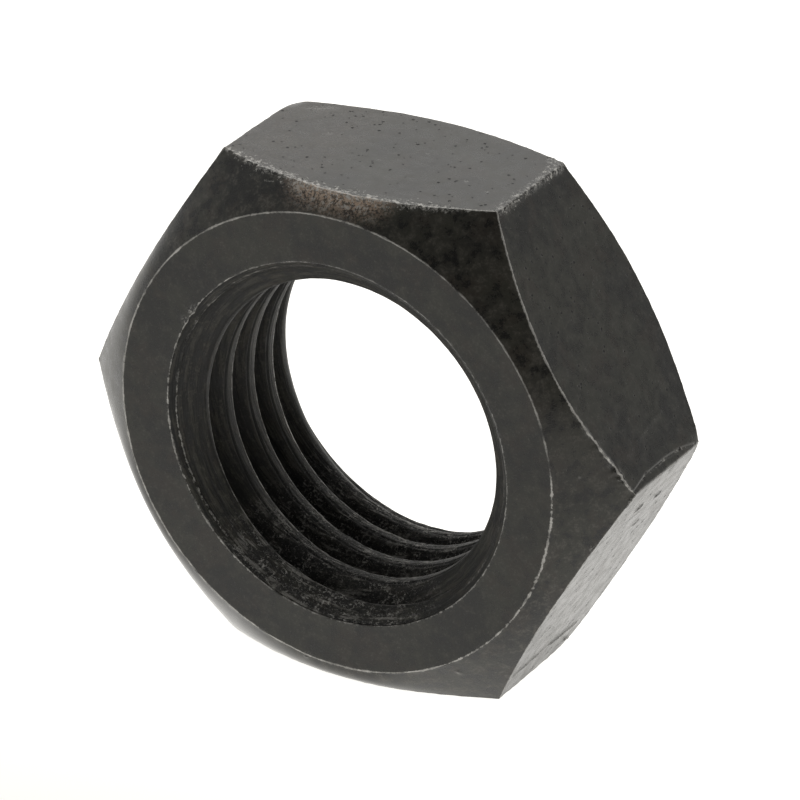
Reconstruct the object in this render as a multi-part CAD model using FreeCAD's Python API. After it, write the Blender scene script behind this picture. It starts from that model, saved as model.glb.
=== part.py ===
import FreeCAD, Part
import math
import os

# Thin hexagon nut, M22 x 2.5, chamfered on both faces, in one piece.
# Millimetres. The thread axis is Y, with the front bearing face towards -Y, and +Z up.
# The nut stands on the lowest of its six wrench flats. The origin is the centre of the bore,
# halfway between the two bearing faces.

# Driving dimensions
across_flats = 32.0
thickness = 12.8

front_ring_diameter = 29.3  # edge of the flat front bearing face
front_chamfer_angle = 40.0  # degrees from the bearing face
back_ring_diameter = 31.4  # edge of the flat back bearing face
back_chamfer_angle = 34.0

major_diameter = 22.0  # at the thread's roots
pitch = 2.5
minor_diameter = 19.7  # at the thread's crests, near the upper limit of class 6H
thread_angle = 60.0  # between the two flanks
crest_angle = 144.0  # about the axis from +X, where a crest lies halfway between the faces

countersink_diameter = 23.3
front_countersink_depth = 1.5
back_countersink_depth = 1.2
back_taper_diameter = 20.7  # where the back lead-in taper meets the back countersink
back_taper_depth = 1.3

# Sizes that follow from them
flat_radius = across_flats / 2
corner_radius = flat_radius / math.cos(math.radians(30))
front_y = -thickness / 2
back_y = thickness / 2
front_ring_radius = front_ring_diameter / 2
back_ring_radius = back_ring_diameter / 2
minor_radius = minor_diameter / 2
major_radius = major_diameter / 2
countersink_radius = countersink_diameter / 2
back_taper_radius = back_taper_diameter / 2
bore_start_y = front_y + front_countersink_depth
bore_end_y = back_y - back_countersink_depth - back_taper_depth
root_width = pitch / 8
flank_slope = math.tan(math.radians(thread_angle / 2))

AXIS = FreeCAD.Vector(0, 1, 0)
ORIGIN = FreeCAD.Vector(0, 0, 0)


def turned(points, slopes_as_splines=False):
    """A solid turned about Y from (radius, y) points, joined by straight lines.

    A sloping line turns into a cone, which crosses a wrench flat in a hyperbola. Drawn as a
    straight spline it turns into the same shape, but crosses the flat in a spline curve.
    """
    corners = [FreeCAD.Vector(radius, y, 0) for radius, y in points]
    edges = []
    for start, end in zip(corners, corners[1:] + corners[:1]):
        line = Part.LineSegment(start, end)
        sloping = start.x != end.x and start.y != end.y
        curve = line.toBSpline() if sloping and slopes_as_splines else line
        edges.append(curve.toShape())
    return Part.Face(Part.Wire(edges)).revolve(ORIGIN, AXIS, 360)


def hexagon_bar():
    """A hexagonal bar along Y with a flat at the top and at the bottom."""
    corners = []
    for side in range(6):
        angle = math.radians(60 * side)
        x = corner_radius * math.cos(angle)
        z = corner_radius * math.sin(angle)
        corners.append(FreeCAD.Vector(x, front_y, z))
    face = Part.Face(Part.makePolygon(corners + corners[:1]))
    return face.extrude(FreeCAD.Vector(0, thickness, 0))


def chamfer_envelope():
    """The turned shape that cuts the hexagon's corners back on both faces."""
    rim = corner_radius + 1.0
    front_rise = (rim - front_ring_radius) * math.tan(math.radians(front_chamfer_angle))
    back_rise = (rim - back_ring_radius) * math.tan(math.radians(back_chamfer_angle))
    outline = [
        (0, front_y),
        (front_ring_radius, front_y),
        (rim, front_y + front_rise),
        (rim, back_y - back_rise),
        (back_ring_radius, back_y),
        (0, back_y),
    ]
    return turned(outline, slopes_as_splines=True)


def bore():
    """The plain hole before tapping, with a countersink at each end and a short taper at the back."""
    return turned([
        (0, front_y),
        (countersink_radius, front_y),
        (minor_radius, bore_start_y),
        (minor_radius, bore_end_y),
        (back_taper_radius, back_y - back_countersink_depth),
        (countersink_radius, back_y),
        (0, back_y),
    ])


def thread_groove():
    """The right-hand V groove that a tap cuts, running out past both faces."""
    turns = math.ceil(thickness / pitch) + 3
    height = turns * pitch
    inner_radius = minor_radius - 0.3  # inside the open hole, so that the cut is clean
    root_half = root_width / 2
    mouth_half = root_half + (major_radius - inner_radius) * flank_slope
    corners = [
        FreeCAD.Vector(inner_radius, 0, -mouth_half),
        FreeCAD.Vector(major_radius, 0, -root_half),
        FreeCAD.Vector(major_radius, 0, root_half),
        FreeCAD.Vector(inner_radius, 0, mouth_half),
    ]
    profile = Part.makePolygon(corners + corners[:1])
    cone_angle = 0
    helix = Part.makeLongHelix(pitch, height, major_radius, cone_angle)
    groove = Part.Wire(helix.Edges).makePipeShell([profile], True, True)
    # The helix rises along Z. It is centred, turned to rise along Y, and turned about Y until
    # a crest, not a root, is at crest_angle halfway between the faces.
    to_crest = pitch / 2 if turns % 2 == 0 else 0.0
    groove.translate(FreeCAD.Vector(0, 0, to_crest - height / 2))
    groove.rotate(ORIGIN, FreeCAD.Vector(1, 0, 0), -90)
    groove.rotate(ORIGIN, AXIS, -crest_angle)
    return groove


def hex_nut():
    blank = hexagon_bar().common(chamfer_envelope()).cut(bore())
    return blank.cut(thread_groove()).Solids[0]


os.makedirs("parts", exist_ok=True)
nut = hex_nut()
nut.exportStep("parts/hex_nut.step")
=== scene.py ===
import math
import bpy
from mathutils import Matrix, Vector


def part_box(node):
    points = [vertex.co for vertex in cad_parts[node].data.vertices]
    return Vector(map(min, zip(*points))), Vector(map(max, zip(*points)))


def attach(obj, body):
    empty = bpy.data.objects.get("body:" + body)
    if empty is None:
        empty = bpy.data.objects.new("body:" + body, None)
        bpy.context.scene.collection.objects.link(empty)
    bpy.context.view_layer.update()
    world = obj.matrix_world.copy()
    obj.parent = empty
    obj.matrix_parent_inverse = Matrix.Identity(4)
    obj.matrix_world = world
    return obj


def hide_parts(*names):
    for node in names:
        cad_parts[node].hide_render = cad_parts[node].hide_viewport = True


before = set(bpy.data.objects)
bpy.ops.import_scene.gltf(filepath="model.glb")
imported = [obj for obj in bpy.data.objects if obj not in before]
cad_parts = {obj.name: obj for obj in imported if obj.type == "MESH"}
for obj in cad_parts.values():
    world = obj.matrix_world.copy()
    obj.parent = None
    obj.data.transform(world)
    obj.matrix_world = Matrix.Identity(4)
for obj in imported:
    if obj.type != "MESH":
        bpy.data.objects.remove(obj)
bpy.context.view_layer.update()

from types import SimpleNamespace

import bpy
import numpy as np
from mathutils import Matrix, Vector

# A blackened steel hex nut, drawn as one closed skin around the frame's node hex_nut.
# The skin is a grid. Its columns go round the thread axis, which is Y, and its rows go once
# round the nut's section: front face, front chamfer, wrench flat, back chamfer, back face, bore.
# Shapes are worked out in millimetres and become metres when the mesh is made.
# Angles go round the axis from +X towards +Z, so the top flat is at 90 degrees.

MM = 0.001
NODE = "hex_nut"
SKIN = "hex_nut_skin"

# Sizes from the frame
node_low, node_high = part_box(NODE)
ACROSS_FLATS = (node_high.z - node_low.z) / MM
BACK_Y = node_high.y / MM
FRONT_Y = node_low.y / MM

# Sizes of the turned faces and the thread, as the CAD part has them
FRONT_RING_RADIUS = 14.65
FRONT_CHAMFER = math.radians(40)
BACK_RING_RADIUS = 15.7
BACK_CHAMFER = math.radians(34)
HOLE_RADIUS = 11.65
CREST_RADIUS = 9.85
ROOT_RADIUS = 11.0
TAPER_RADIUS = 10.35
FRONT_COUNTERSINK_DEPTH = 1.5
BACK_COUNTERSINK_DEPTH = 1.2
BACK_TAPER_DEPTH = 1.3
PITCH = 2.5
ROOT_HALF_WIDTH = PITCH / 16
FLANK_SLOPE = math.tan(math.radians(30))
CREST_ANGLE = 144.0

# How the used thread departs from the CAD part's clean one
THREAD_TILT = 0.40  # how far the thread leans along the axis, most towards TILT_ANGLE
TILT_ANGLE = 158.0
LAST_TURNS_SHIFT = 0.33  # how much nearer the front the last turns lie
LAST_TURNS_Y = 0.8
LAST_TURNS_EASE = 1.6  # the length over which that shift comes in
FULL_THREAD_Y = -0.6  # the middle of the full turns
FULL_THREAD_HALF = 3.4  # half the length of the full turns
ROOT_ROUNDING = 0.25
CREST_WEAR_FRONT = 0.20  # how wide the crests are rounded on their front side
CREST_WEAR_BACK = 0.05
CREST_WEAR_ENDS = 0.42  # the same where the thread runs out
CREST_WEAR_LAST = 0.20  # added to that at the back
TEAR_DEPTH = 0.07
SEAM_DEPTH = 0.10  # the seam is a fine groove in front of each crest
SEAM_WIDTH = 0.07
SEAM_FROM_CREST = 0.30
# where the painted shade lies: a dark line of colour standing in for the shade along the seam groove
PAINTED_SHADE_FROM_CREST = 0.27

# How the used body departs from the CAD part's clean one
RING_GROWTH = 0.08  # the bearing ring is this much larger in radius
RING_SHIFT = 0.07  # and off centre by this much towards RING_SHIFT_ANGLE
RING_SHIFT_ANGLE = 150.0
ARC_WANDER = 0.03  # how far the ring and the rear arcs of the flats wander
LEFT_EDGE_FORWARD = 0.2
CROWN = 0.04  # how far the front chamfer swells
LEFT_CROWN = 0.12  # how much more it swells on the left
CUT_FRONT_CORNER = (240, 3.6, 0.20)  # angle, half width in degrees, depth
KNOCKED_REAR_CORNER = (121, 1.8, 0.25)
REAR_CORNER_ROUNDING = (1.6, 0.10)  # half width in degrees, depth
TIP_LENGTH = 12  # the power that keeps a knocked corner's rounding at its back end
BACK_CHAMFER_LEAST = 0.12  # the least length of the back chamfer along the axis
JAG = (0.02, 0.12, 0.42)  # how far the front arcs wander: everywhere, at the top, on the right
JAG_TOP = (92, 17)  # angle and half width in degrees
JAG_RIGHT = (7, 8)
JAG_POWER = 14  # keeps the wandering near the chamfer's outer edge
STEP_HEIGHT = 0.14  # the step just inside the front countersink's edge
STEP_ARC = (206, 34)  # angle and half width in degrees
STEP_SHARPNESS = 0.025
LIP_INSET = 0.36  # how far inside the countersink's edge the step's lip lies
LIP_STRETCH = 1.4  # counts the distance to the lip as larger, which narrows its bright line
FOLD_HEIGHT = 0.06
FOLD_WIDTH = 0.07
FOLD_REACH = 0.3
STROKE_END = 0.25  # how much of a scratch's depth is left at its very ends
NICKED_CORNER = 60  # the upper right corner, in degrees
CORNER_REACH = 12
CHIPPED_RIGHT = (5, 9)  # angle and half width in degrees
NOTCH_DEPTH = 0.22  # the deeper of two notches in the countersink's edge
NOTCH = (146, 1.3)  # angle and half width in degrees
SMALL_NOTCH = (150.5, 0.9)
SMALL_NOTCH_SHARE = 0.7

# Circles on which noise is read, as radius and y. Each y picks other noise.
RING_CIRCLE = (14.6, 0.0)
ARC_CIRCLE = (17.0, 5.0)
REAR_ARC_CIRCLE = (17.0, 9.0)
SLOW_CIRCLE = (15.0, 1.0)
QUICK_CIRCLE = (15.0, 2.0)
WORN_CIRCLE = (15.0, 3.0)

# Stretches round the axis: start, end and how far they fade beyond, in degrees
TORN_THREAD = (246, 284, 22)
TORN_SURFACE = (240, 288, 24)
EDGE_FORWARD = (185, 275, 25)
CROWNED = (150, 276, 24)
CHIPPED_TOP = (74, 112, 12)
BRIGHT_TOP = (72, 114, 10)
BRIGHT_LOWER_RIGHT = (-58, 2, 8)
BRIGHT_LEFT = (138, 300, 6)
BRIGHT_UPPER_RING = (66, 134, 8)
BRIGHT_LOW_RING = (-22, -4, 8)
BRIGHT_RIGHT_ARC = (4, 62, 6)
HOLE_LEFT = (130, 236, 8)
HOLE_RIGHT = (-60, 12, 8)
LIP = (178, 228, 12)
BROKEN_LIP = (150, 250, 20)
RUSTY = (84, 97, 9)
THINLY_RUSTY = (104, 120, 10)
CLEAN_CHAMFER = (5, 75, 10)
HAZY_CHAMFER = (10, 66, 14)
GLOSSY_CHAMFER = (200, 275, 20)
GLOSSY_FLAT = (-52, -8, 8)

# How the surface is marked for the material. Stains, haze, gloss and thin rust are shares.
STAIN_EVERYWHERE = 0.35
STAIN_ON_CHAMFER = 0.65  # added to that
STAIN_CLEANED_OFF = 0.30  # taken off that on the clean stretch
STAIN_IN_BORE = 0.45
HAZE = 0.32
GLOSS_OF_FLAT = 0.22
THIN_RUST = 0.06
RUST_REACH = 1.1  # how far rust reaches from the top flat's edge, in millimetres
FULL_KNOCK = 0.08  # the depth from which steel counts as knocked
LAST_CREST_Y = 1.4  # the crests behind this are brighter
LEAST_LINE = 0.01  # the least width of an edge's bright line
LINE_LIMIT = 40.0  # how many widths from an edge its line is still measured
EVEN_LINE = 0.35  # the raggedness up to which a line keeps its full width
RAGGED_LOSS = 1.8  # how many widths it loses for each unit of raggedness beyond that

# The grid
COLUMNS = 864
CORNER_CROWDING = 0.55  # how much closer the columns stand at the hexagon's corners
EDGE_CROWDING = 0.85  # how much closer the rows stand at the section's edges
ROWS = {
    "front_face": 26,
    "front_chamfer": 46,
    "flat": 112,
    "back_chamfer": 28,
    "back_face": 24,
    "bore": 208,
}
SOFT_ROWS = 5  # how many rows beside an edge are softened, and how many times
SOFT_CORNER = 0.9  # how many degrees beside a corner are softened
SOFT_CORNER_ROUNDS = 4
FAR = 99.0  # stands for a distance from an edge that isn't near

# Noise
LAYER_FADE = 0.55  # how strong each finer layer of noise is, against the one before
POINT_MIXERS = (np.uint32(374761393), np.uint32(668265263), np.uint32(2246822519))
SEED_MIXER = 1013904223
LAST_MIXERS = ((np.uint32(13), np.uint32(1274126177)), (np.uint32(15), np.uint32(2654435761)))
KEPT_BITS = 24
TAP_STRETCH = np.array([0.35, 1.0, 0.35])  # draws noise out round the bore, as the tap cut it


def lattice(x, y, z, seed):
    """A fixed random number from 0 to 1 for each whole-number point."""
    with np.errstate(over="ignore"):
        n = np.uint32(seed * SEED_MIXER % 2**32)
        for value, mixer in zip((x, y, z), POINT_MIXERS):
            n = n + value.astype(np.uint32) * mixer
        for shift, mixer in LAST_MIXERS:
            n = (n ^ (n >> shift)) * mixer
    return (n >> np.uint32(32 - KEPT_BITS)) / float(2**KEPT_BITS)


def noise(points, size, seed):
    """Smooth random values from -1 to 1 that change over about that size in millimetres.
    Each seed gives values of its own."""
    scaled = points / size
    cell = np.floor(scaled).astype(np.int64)
    part = scaled - cell
    part = part * part * (3 - 2 * part)
    total = 0.0
    for corner in np.ndindex(2, 2, 2):
        weight = 1.0
        for axis in range(3):
            side = part[..., axis]
            weight = weight * (side if corner[axis] else 1 - side)
        at_corner = cell + np.array(corner)
        total = total + weight * lattice(at_corner[..., 0], at_corner[..., 1], at_corner[..., 2], seed)
    return 2 * total - 1


def layered(points, size, seed, layers=3):
    """Noise with finer noise on it, still from about -1 to 1."""
    total, weight, share = 0.0, 1.0, 0.0
    for layer in range(layers):
        total = total + weight * noise(points, size / 2**layer, seed + layer)
        share += weight
        weight *= LAYER_FADE
    return total / share


# Helpers for places round the axis


def bump(distance, width):
    """1 at distance 0, fading to 0 over about that width."""
    return np.exp(-((distance / width) ** 2))


def larger(first, second, rounding):
    """The larger of two values, with the change from one to the other rounded over that width."""
    return 0.5 * (first + second + np.sqrt((first - second) ** 2 + rounding**2))


def angle_gap(angles, centre):
    """Degrees between each angle and a centre, the short way round."""
    return (np.degrees(angles) - centre + 180) % 360 - 180


def around(angles, centre, width):
    """1 at an angle in degrees, fading to 0 over about that many degrees on each side."""
    return bump(angle_gap(angles, centre), width)


def sector(angles, start, end, fade):
    """1 between two angles in degrees, easing to 0 over so many degrees beyond them."""
    beyond = np.abs(angle_gap(angles, (start + end) / 2)) - (end - start) / 2
    share = np.clip(1 - beyond / fade, 0, 1)
    return share * share * (3 - 2 * share)


def from_flat_middle(angles):
    """Angle from the middle of the nearest wrench flat."""
    side = np.pi / 3
    return (angles % side) - side / 2


def from_corner(angles):
    """Degrees from the nearest corner."""
    return np.abs((np.degrees(angles) + 30) % 60 - 30)


def ring_points(angles, radius, y):
    """Points at those angles, that far from the axis."""
    return np.stack([radius * np.cos(angles), y + 0 * angles, radius * np.sin(angles)], -1)


# The section


def between(count):
    """Shares of the way along a stretch, closer together near both ends."""
    even = np.arange(count) / count
    eased = 0.5 - 0.5 * np.cos(np.pi * even)
    return even + EDGE_CROWDING * (eased - even)


def column_angles():
    """The angle of each column, closer together near the corners."""
    turn = np.arange(COLUMNS) * 2 * np.pi / COLUMNS
    return turn - CORNER_CROWDING * np.sin(6 * turn) / 6


def plain_bore(y):
    """Radius of the countersunk, untapped hole."""
    stations = [
        FRONT_Y,
        FRONT_Y + FRONT_COUNTERSINK_DEPTH,
        BACK_Y - BACK_COUNTERSINK_DEPTH - BACK_TAPER_DEPTH,
        BACK_Y - BACK_COUNTERSINK_DEPTH,
        BACK_Y,
    ]
    radii = [HOLE_RADIUS, CREST_RADIUS, CREST_RADIUS, TAPER_RADIUS, HOLE_RADIUS]
    return np.interp(y, stations, radii)


def thread_shift(y, angles):
    """How far the thread lies from a clean helix, along the axis."""
    lean = THREAD_TILT * np.cos(angles - math.radians(TILT_ANGLE))
    return lean - LAST_TURNS_SHIFT * np.clip((y - LAST_TURNS_Y) / LAST_TURNS_EASE, 0, 1)


def bore_surface(y, angles):
    """The tapped hole's radius, and how far along the axis each place lies from the groove's edge
    and from the middle of the nearest crest."""
    drawn_out = ring_points(angles, CREST_RADIUS, y) * TAP_STRETCH
    torn = sector(angles, *TORN_THREAD)
    wander = 0.05 * layered(drawn_out, 0.9, 41) + 0.05 * torn * layered(drawn_out, 0.4, 44)
    crest_y = -PITCH * (np.degrees(angles) - CREST_ANGLE) / 360
    along = y + wander - thread_shift(y, angles) - crest_y
    from_crest = (along + PITCH / 2) % PITCH - PITCH / 2

    from_root = PITCH / 2 - np.abs(from_crest)
    climb = (from_root - ROOT_HALF_WIDTH) / FLANK_SLOPE
    groove = ROOT_RADIUS - larger(climb, 0, ROOT_ROUNDING)
    plain = plain_bore(y)
    ends = np.clip(np.abs(y - FULL_THREAD_Y) - FULL_THREAD_HALF, 0, 1)
    worn = np.where(from_crest < 0, CREST_WEAR_FRONT, CREST_WEAR_BACK)
    worn = worn + (CREST_WEAR_ENDS + CREST_WEAR_LAST * (y > 0) - worn) * ends
    radius = larger(plain, groove, worn)

    seam = SEAM_DEPTH * bump(from_crest + SEAM_FROM_CREST, SEAM_WIDTH) * (1 - ends)
    radius = radius + seam + 0.018 * layered(drawn_out, 0.35, 47)
    radius = radius + TEAR_DEPTH * torn * np.maximum(layered(drawn_out, 0.30, 50), -0.2)
    from_edge = (groove - plain) * FLANK_SLOPE
    return radius, from_edge, from_crest


def knock(angles, centre, width, depth):
    """Depth knocked off a corner."""
    return depth * around(angles, centre, width)


def key_circles(angles):
    """The section's edges: name, radius and y at each column."""
    hexagon = ACROSS_FLATS / 2 / np.cos(from_flat_middle(angles))
    shift = RING_SHIFT * np.cos(angles - math.radians(RING_SHIFT_ANGLE))
    ring = FRONT_RING_RADIUS + RING_GROWTH + shift
    ring = ring + ARC_WANDER * layered(ring_points(angles, *RING_CIRCLE), 1.5, 3)

    front_out = hexagon - knock(angles, *CUT_FRONT_CORNER)
    front = FRONT_Y + (front_out - FRONT_RING_RADIUS) * math.tan(FRONT_CHAMFER)
    front = front - LEFT_EDGE_FORWARD * sector(angles, *EDGE_FORWARD)

    rounding_width, rounding_depth = REAR_CORNER_ROUNDING
    rounding = rounding_depth * bump(from_corner(angles), rounding_width)
    back_out = hexagon - (rounding + knock(angles, *KNOCKED_REAR_CORNER))
    back = BACK_Y - (back_out - BACK_RING_RADIUS) * math.tan(BACK_CHAMFER)
    back = back + ARC_WANDER * layered(ring_points(angles, *REAR_ARC_CIRCLE), 1.4, 11)
    same = 0 * angles
    return [
        ("front_face", HOLE_RADIUS + same, FRONT_Y + same),
        ("front_chamfer", ring, FRONT_Y + same),
        ("flat", front_out, front),
        ("back_chamfer", back_out, np.minimum(back, BACK_Y - BACK_CHAMFER_LEAST)),
        ("back_face", BACK_RING_RADIUS + same, BACK_Y + same),
        ("bore", HOLE_RADIUS + same, BACK_Y + same),
    ]


def plain_section(angles):
    """Radius and y of every grid point on the straight stretches between the edges, and the first
    row of each stretch."""
    circles = key_circles(angles)
    radii, heights, first = [], [], {}
    for number, (name, radius, y) in enumerate(circles):
        next_radius, next_y = circles[(number + 1) % len(circles)][1:]
        first[name] = len(radii)
        for share in between(ROWS[name]):
            leaning = share**TIP_LENGTH if name == "flat" else share
            radii.append(radius + leaning * (next_radius - radius))
            heights.append(y + share * (next_y - y))
    return np.array(radii), np.array(heights), first


def edge_jag(angles):
    """How far the front arcs of the flats wander along the axis, most on the chipped parts."""
    everywhere, at_top, on_right = JAG
    reach = everywhere + at_top * around(angles, *JAG_TOP) + on_right * around(angles, *JAG_RIGHT)
    return reach * layered(ring_points(angles, *ARC_CIRCLE), 0.7, 7)


def swell_chamfer(radius, y, angles, first):
    """Crowns the front chamfer, and makes the edge it shares with the flats wander."""
    jag = edge_jag(angles)
    chamfer = slice(first["front_chamfer"], first["flat"])
    out = between(ROWS["front_chamfer"])[:, None]
    crown = (CROWN + LEFT_CROWN * sector(angles, *CROWNED)) * 4 * out * (1 - out)
    radius[chamfer] = radius[chamfer] + crown * math.sin(FRONT_CHAMFER)
    y[chamfer] = y[chamfer] - crown * math.cos(FRONT_CHAMFER) + jag * out**JAG_POWER
    flat = slice(first["flat"], first["back_chamfer"])
    y[flat] = y[flat] + jag * (1 - between(ROWS["flat"])[:, None])


def tap_bore(radius, y, angles, first):
    """Cuts the thread. The bore's rows are evenly spaced, so that every turn is as finely drawn."""
    bore = slice(first["bore"], len(y))
    share = (np.arange(ROWS["bore"]) / ROWS["bore"])[:, None]
    y[bore] = BACK_Y + share * (FRONT_Y - BACK_Y)
    radius[bore] = bore_surface(y[bore], np.broadcast_to(angles, y[bore].shape))[0]
    radius[first["bore"]] = HOLE_RADIUS


def section_grid(angles):
    """Radius and y of every grid point, with the first row of each stretch."""
    radius, y, first = plain_section(angles)
    swell_chamfer(radius, y, angles, first)
    tap_bore(radius, y, angles, first)
    return radius, y, first


def row_masks(first, count):
    """Which rows belong to the flats, the front chamfer and the bore, and how forged each row is."""
    row = np.arange(count)[:, None]
    return SimpleNamespace(
        flat=(row > first["flat"]) & (row < first["back_chamfer"]),
        inner_flat=(row > first["flat"] + 1) & (row < first["back_chamfer"] - 1),
        whole_flat=(row >= first["flat"]) & (row <= first["back_chamfer"]),
        chamfer=(row > first["front_chamfer"]) & (row < first["flat"]),
        bore=row >= first["bore"],
        front_of_bore=row > count - ROWS["bore"] // 3,
        forged=np.clip((row - first["flat"] + 2) / 4, 0, 1) * (row < first["back_chamfer"]),
    )


# Wear


def soften(grid, weight, axis, rounds):
    """Moves points towards their neighbours along one direction of the grid."""
    for _ in range(rounds):
        middle = 0.5 * (np.roll(grid, 1, axis) + np.roll(grid, -1, axis))
        grid = grid + weight[..., None] * (middle - grid)
    return grid


def soften_edges(grid, angles, first, rows):
    """Rounds every edge that goes round the axis, and then the hexagon's corners."""
    row = np.arange(len(grid))[:, None]
    worn = 0.35 + 0.15 * noise(ring_points(angles, *WORN_CIRCLE), 1.2, 80)
    weight = np.zeros(grid.shape[:2])
    for edge in first.values():
        apart = np.abs(row - edge)
        apart = np.minimum(apart, len(grid) - apart)
        weight = np.maximum(weight, worn * np.clip(1 - apart / SOFT_ROWS, 0, 1))
    grid = soften(grid, weight, 0, SOFT_ROWS)
    corner = np.clip(1 - from_corner(angles) / SOFT_CORNER, 0, 1) * rows.inner_flat
    return soften(grid, 0.5 * corner, 1, SOFT_CORNER_ROUNDS)


def normals(grid):
    """Directions straight out of the surface."""
    down = np.roll(grid, -1, 0) - np.roll(grid, 1, 0)
    beside = np.roll(grid, -1, 1) - np.roll(grid, 1, 1)
    out = np.cross(beside, down)
    return out / np.maximum(np.linalg.norm(out, axis=-1, keepdims=True), 1e-12)


def on_flat(flat_angle, across, y):
    """A point on a wrench flat, from its distance across the flat's middle line and its y."""
    a = math.radians(flat_angle)
    outward = np.array([math.cos(a), 0.0, math.sin(a)])
    sideways = np.array([-math.sin(a), 0.0, math.cos(a)])
    return ACROSS_FLATS / 2 * outward + across * sideways + y * np.array([0.0, 1.0, 0.0])


def on_chamfer(angle, radius):
    """A point on the front chamfer, from its angle in degrees and its distance from the axis."""
    a = math.radians(angle)
    y = FRONT_Y + (radius - FRONT_RING_RADIUS) * math.tan(FRONT_CHAMFER)
    return np.array([radius * math.cos(a), y, radius * math.sin(a)])


def stroke(points, start, end, width, taper=0.15):
    """1 along a straight line between two points, fading sideways over the width and at its ends."""
    line = end - start
    length = np.linalg.norm(line)
    share = ((points - start) @ line) / length**2
    held = np.clip(share, 0, 1)
    off = np.linalg.norm(points - start - held[..., None] * line, axis=-1)
    ends = np.clip(np.minimum(held, 1 - held) / taper, STROKE_END, 1)
    return ends * bump(off, width)


# Dents that are seen one by one: flat, start (across, y), end (across, y), width, depth
DENTS = [
    (90, (-0.9, -4.95), (-0.35, -4.75), 0.13, 0.16),
    (90, (4.75, 1.45), (4.95, 1.55), 0.14, 0.09),
    (90, (-5.5, -0.5), (-5.6, -0.3), 0.15, 0.10),
    (90, (-7.5, -1.2), (-7.3, -1.0), 0.12, 0.07),
    (90, (0.3, -0.4), (0.45, -0.3), 0.10, 0.06),
    (90, (-1.8, 1.7), (-1.6, 1.9), 0.10, 0.06),
    (90, (-8.2, 4.75), (-8.8, 4.25), 0.20, 0.30),
    (90, (-8.6, 3.9), (-8.9, 3.3), 0.14, 0.16),
    (90, (6.3, 4.9), (8.2, 3.9), 0.30, 0.06),
    (30, (-6.2, 3.0), (-6.9, -1.5), 0.06, 0.02),
    (30, (-4.2, 2.6), (-5.2, 4.2), 0.06, 0.02),
    (30, (1.6, 1.0), (2.9, 2.7), 0.05, 0.015),
    (-30, (-6.5, 4.3), (-6.55, 0.0), 0.08, 0.08),
    (-30, (-6.55, 0.0), (-6.9, -3.9), 0.08, 0.06),
    (-30, (5.5, 4.2), (5.2, -4.7), 0.06, 0.03),
    (-30, (-8.3, 4.3), (-8.0, 3.5), 0.20, 0.10),
    (-30, (5.1, -5.3), (5.4, -4.6), 0.20, 0.14),
    (-30, (7.7, -4.6), (7.3, -4.3), 0.16, 0.12),
    (-30, (6.4, 0.3), (6.0, -0.4), 0.10, 0.08),
    (-30, (8.9, 1.9), (8.6, 1.2), 0.06, 0.03),
    (-30, (3.0, 3.9), (2.4, 2.2), 0.05, 0.04),
    (-30, (5.9, 2.8), (5.7, 2.3), 0.12, 0.08),
    (-30, (3.9, 2.0), (3.6, 1.6), 0.09, 0.05),
    (150, (2.0, -1.0), (2.3, 1.4), 0.08, 0.04),
    (150, (-4.0, 2.0), (-3.1, 2.4), 0.16, 0.08),
    (-150, (3.0, 1.0), (3.3, 1.3), 0.16, 0.08),
    (-90, (-3.0, -2.0), (1.0, 2.0), 0.08, 0.03),
]

# Nicks in the front chamfer: start (angle, radius), end (angle, radius), width, depth
NICKS = [
    ((262.0, 14.5), (258.8, 15.9), 0.12, 0.13),
    ((258.5, 15.8), (258.2, 16.0), 0.16, 0.12),
    ((241.0, 17.2), (240.8, 17.4), 0.12, 0.08),
    ((300.5, 15.4), (300.9, 15.6), 0.13, 0.08),
    ((5.0, 15.9), (5.3, 16.0), 0.10, 0.05),
    ((338.0, 15.3), (336.5, 16.4), 0.06, 0.03),
    ((32.0, 15.0), (27.0, 15.9), 0.05, 0.025),
    ((128.0, 15.2), (133.0, 16.8), 0.05, 0.025),
]

# The rolled-over lip beside the right-hand corner: points (across, y) on its flat
FOLD_FLAT = 30
FOLD = [(-9.1, -3.4), (-8.72, -1.6), (-8.66, 0.8), (-8.8, 2.6), (-9.15, 4.2)]


def edge_distances(grid, angles, first, rows):
    """Distance in millimetres from each grid point to each kind of edge, over the surface."""
    step = np.linalg.norm(np.roll(grid, -1, 0) - grid, axis=-1)
    travelled = np.cumsum(step, axis=0) - step
    whole = step.sum(axis=0)
    gaps = {}
    for name, row in first.items():
        gap = np.abs(travelled - travelled[row])
        gaps[name] = np.minimum(gap, whole - gap)
    radius = np.hypot(grid[..., 0], grid[..., 2])
    to_corner = radius * np.sin(np.radians(from_corner(angles)))
    gaps["corner"] = np.where(rows.whole_flat, to_corner, FAR)
    return gaps


def near_nicked_corner(angles):
    """1 close to the nicked corner, and 0 elsewhere."""
    return (np.abs(angle_gap(angles, NICKED_CORNER)) < CORNER_REACH).astype(float)


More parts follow.
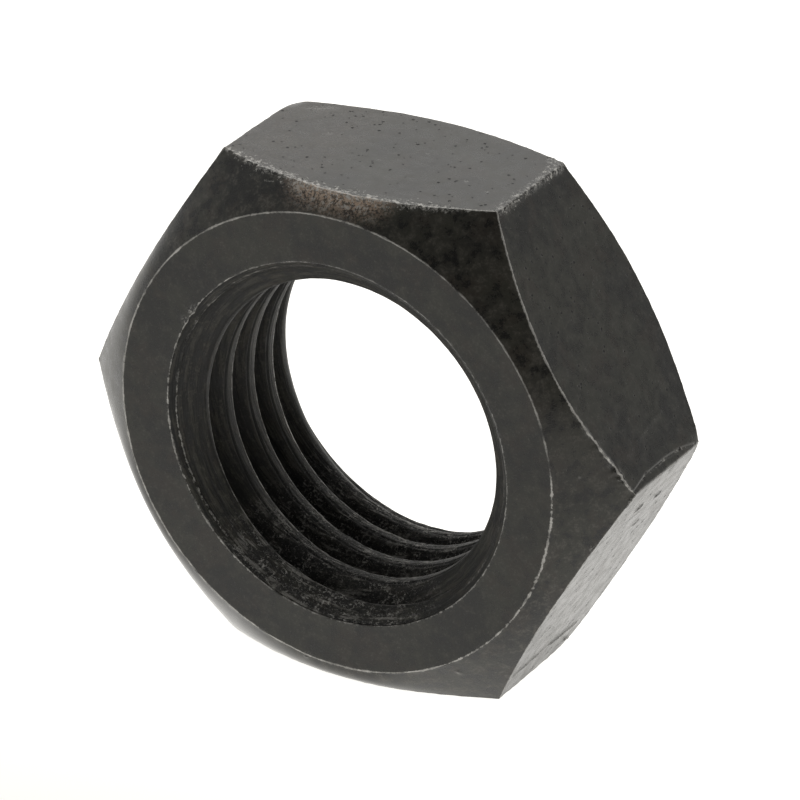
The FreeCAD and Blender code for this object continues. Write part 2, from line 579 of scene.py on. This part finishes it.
def damage(grid, angles, gaps):
    """Depth in millimetres knocked off the surface: chips along the edges, dents and scratches."""
    chip = np.clip(layered(grid, 0.42, 60) + 0.2, 0, 1)
    nick = np.clip(layered(grid, 0.26, 67, 2), 0, 1)
    blunt = np.clip(layered(grid, 1.3, 64), 0, 1)
    top = sector(angles, *CHIPPED_TOP)
    right = around(angles, *CHIPPED_RIGHT)
    corner = near_nicked_corner(angles)
    notches = around(angles, *NOTCH) + SMALL_NOTCH_SHARE * around(angles, *SMALL_NOTCH)
    # edge, depth, width
    chips = [
        ("flat", (0.02 + 0.06 * right) * chip, 0.16),
        ("flat", 0.20 * right * nick, 0.26),
        ("flat", top * (0.12 * chip + 0.26 * nick + 0.03), 0.30),
        ("back_chamfer", 0.04 * chip, 0.20),
        ("front_chamfer", 0.03 * chip, 0.14),
        ("front_face", 0.03 * chip + 0.04 * nick, 0.14),
        ("corner", 0.03 * chip + corner * (0.05 + 0.12 * nick), 0.12 + 0.16 * corner),
        ("corner", 0.03 * blunt, 0.50),
        ("front_face", NOTCH_DEPTH * notches, 0.28),
    ]
    depth = 0.0
    for edge, deep, width in chips:
        depth = depth + deep * bump(gaps[edge], width)
    for start, end, width, deep in NICKS:
        depth = depth + deep * stroke(grid, on_chamfer(*start), on_chamfer(*end), width)
    for flat, start, end, width, deep in DENTS:
        depth = depth + deep * stroke(grid, on_flat(flat, *start), on_flat(flat, *end), width)
    return depth


def fold_gap(grid):
    """Distance from the rolled-over lip, with a little wandering."""
    wander = 0.12 * layered(grid, 1.4, 33)[..., None] * np.array([0.5, 0.0, 0.87])
    path = [on_flat(FOLD_FLAT, across, y) for across, y in FOLD]
    near = [stroke(grid + wander, a, b, FOLD_REACH, taper=0.01) for a, b in zip(path, path[1:])]
    return FOLD_REACH * np.sqrt(-np.log(np.maximum(np.maximum.reduce(near), 1e-30)))


def relief(grid, rows):
    """Small unevenness in millimetres: the forged flats are rougher than the turned faces, and
    one of them has the rolled-over lip."""
    forged = 0.004 * layered(grid, 0.5, 20) + 0.012 * noise(grid, 3.2, 24)
    turned = 0.003 * layered(grid, 0.5, 28) + 0.006 * noise(grid, 2.4, 31)
    fold = FOLD_HEIGHT * bump(fold_gap(grid), FOLD_WIDTH)
    return rows.flat * (forged + fold) + ~rows.flat * ~rows.bore * turned


def front_step(grid, angles, rows):
    """Depth of the small step just inside the front countersink's edge, on the left of the hole."""
    radius = np.hypot(grid[..., 0], grid[..., 2])
    lip = HOLE_RADIUS - LIP_INSET + 0.05 * noise(grid, 2.0, 71)
    deep = STEP_HEIGHT * rows.front_of_bore * around(angles, *STEP_ARC)
    return deep / (1 + np.exp(-(radius - lip) / STEP_SHARPNESS))


def edge_lines(grid, angles, gaps):
    """Distance from the nearest worn edge, in widths of its bright line, and that line's
    brightness and raggedness."""
    slow = noise(ring_points(angles, *SLOW_CIRCLE), 2.2, 90)
    quick = noise(ring_points(angles, *QUICK_CIRCLE), 0.5, 91)
    top = sector(angles, *BRIGHT_TOP)
    lower_right = sector(angles, *BRIGHT_LOWER_RIGHT)
    left = sector(angles, *BRIGHT_LEFT)
    upper_ring = sector(angles, *BRIGHT_UPPER_RING)
    low_ring = sector(angles, *BRIGHT_LOW_RING)
    right_arc = sector(angles, *BRIGHT_RIGHT_ARC)
    corner = near_nicked_corner(angles)
    hole_sides = sector(angles, *HOLE_LEFT) + sector(angles, *HOLE_RIGHT)
    last_crest = np.clip(grid[..., 1] - LAST_CREST_Y, 0, 1)
    lip_shine = 0.80 * sector(angles, *LIP) + 0.2 * slow * sector(angles, *BROKEN_LIP)
    # name: width in millimetres, brightness, raggedness
    lines = {
        "front_chamfer": (
            0.045 + 0.015 * quick + 0.03 * low_ring,
            0.32 + 0.35 * lower_right + 0.35 * left + 0.25 * upper_ring,
            0.3 + 0.2 * lower_right,
        ),
        "flat": (
            0.03 + 0.36 * top + 0.03 * right_arc + 0.01 * quick,
            0.35 + 0.55 * top + 0.5 * right_arc,
            0.35 + 0.65 * top,
        ),
        "back_chamfer": (0.035 + 0.01 * slow, 0.30, 0.5),
        "back_face": (0.04 + 0.015 * slow, 0.40 + 0.2 * slow, 0.5),
        "bore": (0.04 + 0.01 * slow, 0.40 + 0.2 * slow, 0.5),
        "front_face": (0.045 + 0.02 * quick, 0.25 + 0.25 * slow + 0.35 * hole_sides, 0.6),
        "corner": (0.03 + 0.20 * corner + 0.01 * quick, 0.30 + 0.45 * corner, 0.35 + 0.65 * corner),
        "crest": (0.055 + 0.015 * left, 0.15 + (0.30 + 0.45 * last_crest) * left, 0.45 - 0.1 * left),
        "lip": (0.06 + 0.02 * quick, lip_shine, 0.5),
        "fold": (0.05 + 0.02 * quick, 0.50 + 0.25 * slow, 0.5),
    }
    nearest = np.full(grid.shape[:2], LINE_LIMIT)
    shine, ragged = 0 * nearest, 0 * nearest
    for name, (width, bright, rough) in lines.items():
        apart = gaps[name] / np.maximum(width, LEAST_LINE)
        apart = apart + np.maximum(rough - EVEN_LINE, 0) * RAGGED_LOSS
        shine = np.where(apart < nearest, bright, shine)
        ragged = np.where(apart < nearest, rough, ragged)
        nearest = np.minimum(nearest, apart)
    return nearest, shine, ragged


def browned(angles, gaps, rows):
    """Where light rust has browned the steel: on the chamfer in front of the top flat, and thinly
    at that flat's left end."""
    rust = sector(angles, *RUSTY) * bump(gaps["flat"], RUST_REACH) * rows.chamfer
    return rust + THIN_RUST * sector(angles, *THINLY_RUSTY) * rows.inner_flat


def skin_points(angles):
    """The finished grid of points in millimetres, and the marks that the material reads there."""
    radius, y, first = section_grid(angles)
    rows = row_masks(first, len(radius))
    spread = np.broadcast_to(angles, radius.shape)
    grid = ring_points(spread, radius, y)
    gaps = edge_distances(grid, angles, first, rows)

    grid = soften_edges(grid, angles, first, rows)
    depth = np.where(rows.bore, 0.0, damage(grid, angles, gaps))
    moved = relief(grid, rows) - depth - front_step(grid, angles, rows)
    grid = grid + normals(grid) * moved[..., None]

    from_edge, from_crest = bore_surface(y, spread)[1:]
    in_countersink = rows.bore & (y < FRONT_Y + FRONT_COUNTERSINK_DEPTH)
    to_lip = LIP_STRETCH * np.abs(radius - HOLE_RADIUS + LIP_INSET)
    gaps["fold"] = np.where(rows.inner_flat, fold_gap(grid), FAR)
    gaps["crest"] = np.where(rows.bore & (from_crest > 0), np.abs(from_edge), FAR)
    gaps["lip"] = np.where(in_countersink, to_lip, FAR)
    edge_line, edge_shine, edge_rough = edge_lines(grid, angles, gaps)

    chamfer_stain = STAIN_ON_CHAMFER - STAIN_CLEANED_OFF * sector(angles, *CLEAN_CHAMFER)
    stain = STAIN_EVERYWHERE + chamfer_stain * rows.chamfer + STAIN_IN_BORE * rows.bore
    glossy_flat = GLOSS_OF_FLAT * rows.inner_flat * sector(angles, *GLOSSY_FLAT)
    # edge_line counts in line widths, and around in millimetres. The other marks are shares.
    marks = {
        "edge_line": edge_line,
        "edge_shine": edge_shine,
        "edge_rough": edge_rough,
        "around": CREST_RADIUS * spread,
        "brown": browned(angles, gaps, rows),
        "forged": rows.forged,
        "stained": stain,
        "hazy": HAZE * sector(angles, *HAZY_CHAMFER) * rows.chamfer,
        "bore": 1.0 * rows.bore,
        # seam is painted shade: a dark line along the fine groove in front of each crest
        "seam": rows.bore * bump(from_crest + PAINTED_SHADE_FROM_CREST, SEAM_WIDTH),
        "glossy": rows.chamfer * sector(angles, *GLOSSY_CHAMFER) + glossy_flat,
        "torn": rows.bore * sector(angles, *TORN_SURFACE),
        "knocks": np.clip(depth / FULL_KNOCK, 0, 1),
    }
    return grid, {name: np.broadcast_to(value, radius.shape) for name, value in marks.items()}


def make_skin():
    """The nut's visible surface, one closed mesh, and the names of the marks on it."""
    grid, marks = skin_points(column_angles())
    grid = np.clip(grid, np.array(node_low) / MM, np.array(node_high) / MM)
    rows, columns = grid.shape[:2]
    index = np.arange(rows * columns).reshape(rows, columns)
    below, beside = np.roll(index, -1, 0), np.roll(index, -1, 1)
    across = np.roll(below, -1, 1)
    quads = np.stack([index, beside, across, below], -1).reshape(-1, 4)

    mesh = bpy.data.meshes.new(SKIN)
    mesh.vertices.add(rows * columns)
    mesh.vertices.foreach_set("co", (grid * MM).astype(np.float32).ravel())
    mesh.loops.add(quads.size)
    mesh.loops.foreach_set("vertex_index", quads.astype(np.int32).ravel())
    mesh.polygons.add(len(quads))
    mesh.polygons.foreach_set("loop_start", np.arange(0, quads.size, 4, dtype=np.int32))
    mesh.update(calc_edges=True)
    mesh.validate()
    mesh.shade_smooth()
    for name, values in marks.items():
        attribute = mesh.attributes.new(name, "FLOAT", "POINT")
        attribute.data.foreach_set("value", values.astype(np.float32).ravel())
    skin = bpy.data.objects.new(SKIN, mesh)
    bpy.context.scene.collection.objects.link(skin)
    return skin, list(marks)


# Materials

DEEP_BLACK = (0.006, 0.0063, 0.005, 1)
SOFT_BLACK = (0.018, 0.0182, 0.0122, 1)
BROWN_BLACK = (0.021, 0.0155, 0.0105, 1)
PALE_STAIN = (0.050, 0.046, 0.038, 1)
# the dark of stains, and also the painted shade along the seam groove in front of each crest
DARK_STAIN_AND_SHADE = (0.003, 0.003, 0.003, 1)
PIT_BLACK = (0.004, 0.004, 0.004, 1)
RUST = (0.44, 0.33, 0.245, 1)
BARE_STEEL = (0.46, 0.45, 0.425, 1)
OIL_IOR = 1.45

# The noises over the steel: features per millimetre, detail, roughness
STEEL_NOISES = {
    "clouds": (0.30, 4.0, 0.6),
    "mottle": (1.2, 5.0, 0.65),
    "grain": (6.0, 4.0, 0.75),
    "dust": (14.0, 2.0, 0.55),
    "flecks": (3.2, 4.0, 0.75),
    "tints": (0.55, 3.0, 0.6),
}
CUT_NOISE = (4.5, 4.0, 0.7)
CUT_SQUEEZE = 0.07  # lengths round the bore count this much in the tap's cuts
SCALE_SQUEEZE = 0.42  # and this much in the torn scales
SCALES_PER_MM = 4.6
SCALE_EDGE = 0.42  # a torn scale's rim is this far from its middle, as a share of its size
PITS_PER_MM = 2.4
PIT_DEPTH = 0.05


def add(tree, kind, inputs=None, **settings):
    """Adds a node, sets its properties, and fills its inputs with values or links."""
    node = tree.nodes.new(kind)
    for name, value in settings.items():
        setattr(node, name, value)
    for name, value in (inputs or {}).items():
        fill(tree, node.inputs[name], value)
    return node


def fill(tree, socket, value):
    """Links a socket to another node's output, or sets its value."""
    if isinstance(value, bpy.types.NodeSocket):
        tree.links.new(value, socket)
    else:
        socket.default_value = value


def combine(tree, operation, *values):
    """A Math node's result."""
    return add(tree, "ShaderNodeMath", dict(enumerate(values)), operation=operation).outputs[0]


def times(tree, first, *others):
    """The product of some values."""
    for other in others:
        first = combine(tree, "MULTIPLY", first, other)
    return first


def largest(tree, first, *others):
    """The largest of some values."""
    for other in others:
        first = combine(tree, "MAXIMUM", first, other)
    return first


def scaled_sum(tree, value, factor, added):
    """A value times a factor, plus another value."""
    return combine(tree, "MULTIPLY_ADD", value, factor, added)


def ramp(tree, value, low, high, to_low=0.0, to_high=1.0):
    """Maps low to high onto to_low to to_high with smooth ends."""
    inputs = {"Value": value, "From Min": low, "From Max": high, "To Min": to_low, "To Max": to_high}
    node = add(tree, "ShaderNodeMapRange", inputs, interpolation_type="SMOOTHSTEP")
    return node.outputs["Result"]


def blend_colour(tree, share, first, second):
    """The first colour, changing to the second as the share goes from 0 to 1."""
    node = add(tree, "ShaderNodeMix", data_type="RGBA")
    for name, kind, value in (("Factor", "VALUE", share), ("A", "RGBA", first), ("B", "RGBA", second)):
        socket = next(s for s in node.inputs if s.name == name and s.type == kind)
        fill(tree, socket, value)
    return next(s for s in node.outputs if s.type == "RGBA")


def speckle(tree, place, scale, detail, rough):
    """Noise from 0 to 1 with a scale in features per millimetre."""
    inputs = {"Vector": place, "Scale": scale, "Detail": detail, "Roughness": rough}
    return add(tree, "ShaderNodeTexNoise", inputs).outputs[0]


def steel_fields(tree, mark_names):
    """The skin's marks and the noises that the steel's colour, gloss and relief share."""
    object_place = add(tree, "ShaderNodeTexCoord").outputs["Object"]
    to_millimetres = {0: object_place, "Scale": 1 / MM}
    place = add(tree, "ShaderNodeVectorMath", to_millimetres, operation="SCALE").outputs[0]
    fields = {"place": place}
    for name in mark_names:
        fields[name] = add(tree, "ShaderNodeAttribute", attribute_name=name).outputs["Fac"]
    for name, settings in STEEL_NOISES.items():
        fields[name] = speckle(tree, place, *settings)
    return SimpleNamespace(**fields)


def unrolled(tree, at, squeeze):
    """Places in the bore laid out flat and squeezed round it, so that what is drawn comes out long."""
    along = add(tree, "ShaderNodeSeparateXYZ", {0: at.place}).outputs["Y"]
    flat = {"X": times(tree, at.around, squeeze), "Y": along}
    return add(tree, "ShaderNodeCombineXYZ", flat).outputs[0]


def torn_scales(tree, at):
    """Distance from the middle of the nearest torn scale of the thread."""
    warp = scaled_sum(tree, at.grain, 0.5, -0.25)
    moved = {0: unrolled(tree, at, SCALE_SQUEEZE), 1: warp}
    warped = add(tree, "ShaderNodeVectorMath", moved, operation="ADD").outputs[0]
    cells = {"Vector": warped, "Scale": SCALES_PER_MM}
    return add(tree, "ShaderNodeTexVoronoi", cells).outputs["Distance"]


def round_pits(tree, at):
    """Small round holes in the forged flats."""
    cells = add(tree, "ShaderNodeTexVoronoi", {"Vector": at.place, "Scale": PITS_PER_MM})
    size = ramp(tree, at.mottle, 0.50, 0.60, 0.0, 0.24)
    reach = combine(tree, "SUBTRACT", size, cells.outputs["Distance"])
    return times(tree, ramp(tree, reach, -0.02, 0.04), at.forged)


def bare_edges(tree, at):
    """Share of bare metal along the worn edges."""
    ragged = scaled_sum(tree, at.flecks, 13.0, -6.5)
    line = scaled_sum(tree, at.edge_rough, ragged, at.edge_line)
    broken = scaled_sum(tree, at.mottle, 2.4, -1.2)
    limits = {"Value": combine(tree, "ADD", at.edge_shine, broken), "Min": 0.05, "Max": 0.9}
    shine = add(tree, "ShaderNodeClamp", limits).outputs[0]
    return times(tree, ramp(tree, line, 1.5, 0.5), shine)


def bare_specks(tree, at):
    """Share of bare metal in fine specks, which are many more on the torn thread."""
    specks = times(tree, ramp(tree, at.dust, 0.54, 0.62), ramp(tree, at.grain, 0.50, 0.58))
    return times(tree, specks, scaled_sum(tree, at.torn, 0.45, 0.05))


def bare_tears(tree, at):
    """Share of bare metal on the rims of the torn scales and along the cuts between them."""
    patches = ramp(tree, at.mottle, 0.44, 0.56, 0.1, 0.9)
    from_rim = combine(tree, "ABSOLUTE", combine(tree, "SUBTRACT", at.scales, SCALE_EDGE))
    rims = times(tree, ramp(tree, from_rim, 0.12, 0.02), at.torn, patches)
    rims = times(tree, rims, ramp(tree, at.grain, 0.46, 0.56))
    cuts = times(tree, ramp(tree, at.cuts, 0.54, 0.59), at.torn, patches)
    return largest(tree, rims, times(tree, cuts, 0.45))


def bare_scrapes(tree, at):
    """Share of bare metal where the steel was knocked, and in flecks among the rust."""
    knocked = times(tree, at.knocks, ramp(tree, at.grain, 0.50, 0.44, 0.0, 0.50))
    rusted = times(tree, at.brown, ramp(tree, at.flecks, 0.53, 0.57, 0.0, 0.9))
    return largest(tree, knocked, rusted)


def pale_stains(tree, at):
    """Share of pale stain: clouds with grain in them, fine cuts in the bore, and a haze."""
    clouds = times(tree, ramp(tree, at.mottle, 0.49, 0.60), ramp(tree, at.grain, 0.42, 0.58, 0.1, 1.0))
    cuts = times(tree, at.bore, ramp(tree, at.cuts, 0.53, 0.59, 0.0, 0.7))
    return scaled_sum(tree, largest(tree, clouds, cuts), at.stained, at.hazy)


def dark_stains_and_painted_shade(tree, at):
    """Share of dark: stains, fine cuts in the bore, chips, hollows in the torn thread, the seam's
    painted shade.
    """
    cuts = times(tree, at.bore, ramp(tree, at.cuts, 0.51, 0.45))
    stains = times(tree, largest(tree, ramp(tree, at.mottle, 0.47, 0.38), cuts), at.stained)
    chips = times(tree, at.knocks, ramp(tree, at.grain, 0.49, 0.54))
    hollows = times(tree, at.torn, ramp(tree, at.scales, 0.30, 0.15))
    # at.seam is painted shade along the groove in front of each crest
    return largest(tree, stains, chips, hollows, at.seam)


def steel_colour(tree, at):
    """Black oxide in clouds, with stains, painted shade, rust and pits on it, and the bare metal over
    them all.
    """
    # share, colour
    layers = [
        (ramp(tree, at.clouds, 0.38, 0.62), SOFT_BLACK),
        (ramp(tree, at.tints, 0.50, 0.62, 0.0, 0.55), BROWN_BLACK),
        (pale_stains(tree, at), PALE_STAIN),
        # dark stains, and painted shade along the seam groove
        (dark_stains_and_painted_shade(tree, at), DARK_STAIN_AND_SHADE),
        (times(tree, at.brown, ramp(tree, at.grain, 0.45, 0.55, 0.15, 1.0)), RUST),
        (at.pits, PIT_BLACK),
        (at.bare, BARE_STEEL),
    ]
    colour = DEEP_BLACK
    for share, layer in layers:
        colour = blend_colour(tree, share, colour, layer)
    return colour


def steel_roughness(tree, at):
    """Oiled steel, duller in the bore and the pits, glossier on the lower chamfer and flat."""
    dull = ramp(tree, at.mottle, 0.3, 0.7, 0.25, 0.37)
    dull = scaled_sum(tree, at.bore, 0.30, dull)
    dull = scaled_sum(tree, at.glossy, -0.20, dull)
    dull = scaled_sum(tree, at.grain, 0.10, combine(tree, "SUBTRACT", dull, 0.05))
    return scaled_sum(tree, at.pits, 0.3, dull)


def steel_relief(tree, at):
    """The finest unevenness, in millimetres: grain, torn scales, cuts and pits."""
    coarse = scaled_sum(tree, at.stained, 0.007, 0.003)
    coarse = scaled_sum(tree, at.glossy, -0.006, coarse)
    coarse = scaled_sum(tree, at.knocks, 0.03, coarse)
    height = times(tree, at.grain, coarse)
    height = scaled_sum(tree, times(tree, at.scales, at.torn), 0.10, height)
    height = scaled_sum(tree, times(tree, at.cuts, at.bore), 0.11, height)
    height = scaled_sum(tree, at.mottle, 0.006, height)
    height = scaled_sum(tree, at.dust, scaled_sum(tree, at.torn, 0.008, 0.0015), height)
    height = scaled_sum(tree, at.pits, -PIT_DEPTH, height)
    bumps = {"Height": height, "Distance": MM, "Strength": 1.0}
    return add(tree, "ShaderNodeBump", bumps).outputs["Normal"]


def new_material(name):
    """A material with its node tree and its shader."""
    material = bpy.data.materials.new(name)
    material.use_nodes = True
    return material, material.node_tree, material.node_tree.nodes["Principled BSDF"]


def blackened_steel(mark_names):
    """Oiled black oxide on forged steel, stained and worn to bare metal along the edges."""
    material, tree, shader = new_material("blackened_steel")
    at = steel_fields(tree, mark_names)
    at.pits = round_pits(tree, at)
    at.cuts = speckle(tree, unrolled(tree, at, CUT_SQUEEZE), *CUT_NOISE)
    at.scales = torn_scales(tree, at)
    at.bare = largest(tree, bare_edges(tree, at), bare_specks(tree, at), bare_tears(tree, at))
    at.bare = largest(tree, at.bare, bare_scrapes(tree, at))
    fill(tree, shader.inputs["Base Color"], steel_colour(tree, at))
    fill(tree, shader.inputs["Metallic"], times(tree, at.bare, 0.4))
    fill(tree, shader.inputs["Roughness"], steel_roughness(tree, at))
    fill(tree, shader.inputs["Normal"], steel_relief(tree, at))
    shader.inputs["IOR"].default_value = OIL_IOR
    return material


# The studio

CAMERA_AZIMUTH = math.radians(30.95)
CAMERA_ELEVATION = math.radians(26.34)
CAMERA_ROLL = math.radians(-0.68)
CAMERA_DISTANCE = 427.5 * MM
VIEW_WIDTH = 47.70 * MM  # how much the picture spans at the nut's distance
AIM = Vector((0.0, 0.83, 0.0)) * MM
AIM_RIGHT = 0.147 * MM
AIM_UP = -0.095 * MM
SENSOR_WIDTH = 36.0
CLIP_REACH = 20  # the camera sees from its distance over this to its distance times this

FLOOR_HALF = 30.0
FLOOR_GREY = (0.55, 0.55, 0.55, 1)
FLOOR_LIGHT = (1.0, 0.98, 0.94, 1)
GLOW_NEAR = 0.13  # the floor is evenly bright to this distance from the nut, in metres
GLOW_FAR = 0.50
GLOW_MIDDLE = 1.06
GLOW_EDGE = 0.40
FRONT_GLOW = 0.64  # the share of the glow that is left this far in front of the nut
FRONT_GLOW_Y = -0.035

SOFTBOX = Vector((-0.46, 0.77, 0.50))
SOFTBOX_LIGHT = (1.35, 1.33, 1.29, 1)
WALL_LIGHT = (0.50, 0.495, 0.48, 1)
DARK_SIDE_LIGHT = (0.10, 0.10, 0.10, 1)


def pale_floor():
    """The white top of a light table, brightest round the nut, which takes only faint shadows."""
    material, tree, shader = new_material("pale_floor")
    object_place = add(tree, "ShaderNodeTexCoord").outputs["Object"]
    away = add(tree, "ShaderNodeVectorMath", {0: object_place}, operation="LENGTH").outputs["Value"]
    depth = add(tree, "ShaderNodeSeparateXYZ", {0: object_place}).outputs["Y"]
    glow = ramp(tree, away, GLOW_NEAR, GLOW_FAR, GLOW_MIDDLE, GLOW_EDGE)
    glow = times(tree, glow, ramp(tree, depth, FRONT_GLOW_Y, 0.0, FRONT_GLOW, 1.0))
    fill(tree, shader.inputs["Emission Strength"], glow)
    shader.inputs["Base Color"].default_value = FLOOR_GREY
    shader.inputs["Roughness"].default_value = 0.9
    shader.inputs["Specular IOR Level"].default_value = 0.0
    shader.inputs["Emission Color"].default_value = FLOOR_LIGHT
    return material


def make_floor():
    """A square of floor under the nut."""
    sides = ((-1, -1), (1, -1), (1, 1), (-1, 1))
    corners = [(x * FLOOR_HALF, y * FLOOR_HALF, node_low.z) for x, y in sides]
    mesh = bpy.data.meshes.new("floor")
    mesh.from_pydata(corners, [], [(0, 1, 2, 3)])
    mesh.materials.append(pale_floor())
    floor = bpy.data.objects.new("floor", mesh)
    bpy.context.scene.collection.objects.link(floor)


def make_camera():
    """A view from above and to the right. Returns the direction from the nut to the camera."""
    a, e = CAMERA_AZIMUTH, CAMERA_ELEVATION
    back = Vector((math.sin(a) * math.cos(e), -math.cos(a) * math.cos(e), math.sin(e)))
    level_right = Vector((math.cos(a), math.sin(a), 0.0))
    level_up = back.cross(level_right)
    right = math.cos(CAMERA_ROLL) * level_right + math.sin(CAMERA_ROLL) * level_up
    up = back.cross(right)
    data = bpy.data.cameras.new("camera")
    data.sensor_width = SENSOR_WIDTH
    data.lens = SENSOR_WIDTH * CAMERA_DISTANCE / VIEW_WIDTH
    data.clip_start = CAMERA_DISTANCE / CLIP_REACH
    data.clip_end = CAMERA_DISTANCE * CLIP_REACH
    camera = bpy.data.objects.new("camera", data)
    turn = Matrix((right, up, back)).transposed().to_4x4()
    place = AIM + CAMERA_DISTANCE * back + AIM_RIGHT * right + AIM_UP * up
    camera.matrix_world = Matrix.Translation(place) @ turn
    bpy.context.scene.collection.objects.link(camera)
    bpy.context.scene.camera = camera
    return back


def make_surroundings(dark_side):
    """A white softbox high behind the nut, dimmer walls, and little light from the viewer's side."""
    world = bpy.data.worlds.new("studio")
    bpy.context.scene.world = world
    world.use_nodes = True
    tree = world.node_tree
    direction = add(tree, "ShaderNodeTexCoord").outputs["Generated"]

    def towards(point):
        """1 in that direction, -1 the opposite way."""
        facing = {0: direction, 1: tuple(point.normalized())}
        return add(tree, "ShaderNodeVectorMath", facing, operation="DOT_PRODUCT").outputs["Value"]

    softbox = ramp(tree, towards(SOFTBOX), 0.45, 0.90)
    unlit = ramp(tree, towards(dark_side), 0.40, 0.85)
    light = blend_colour(tree, softbox, WALL_LIGHT, SOFTBOX_LIGHT)
    light = blend_colour(tree, unlit, light, DARK_SIDE_LIGHT)
    fill(tree, tree.nodes["Background"].inputs["Color"], light)


skin, mark_names = make_skin()
skin.data.materials.append(blackened_steel(mark_names))
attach(skin, "root")
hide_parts(NODE)
view_direction = make_camera()
make_floor()
make_surroundings(view_direction)
bpy.context.scene.view_settings.view_transform = "Standard"
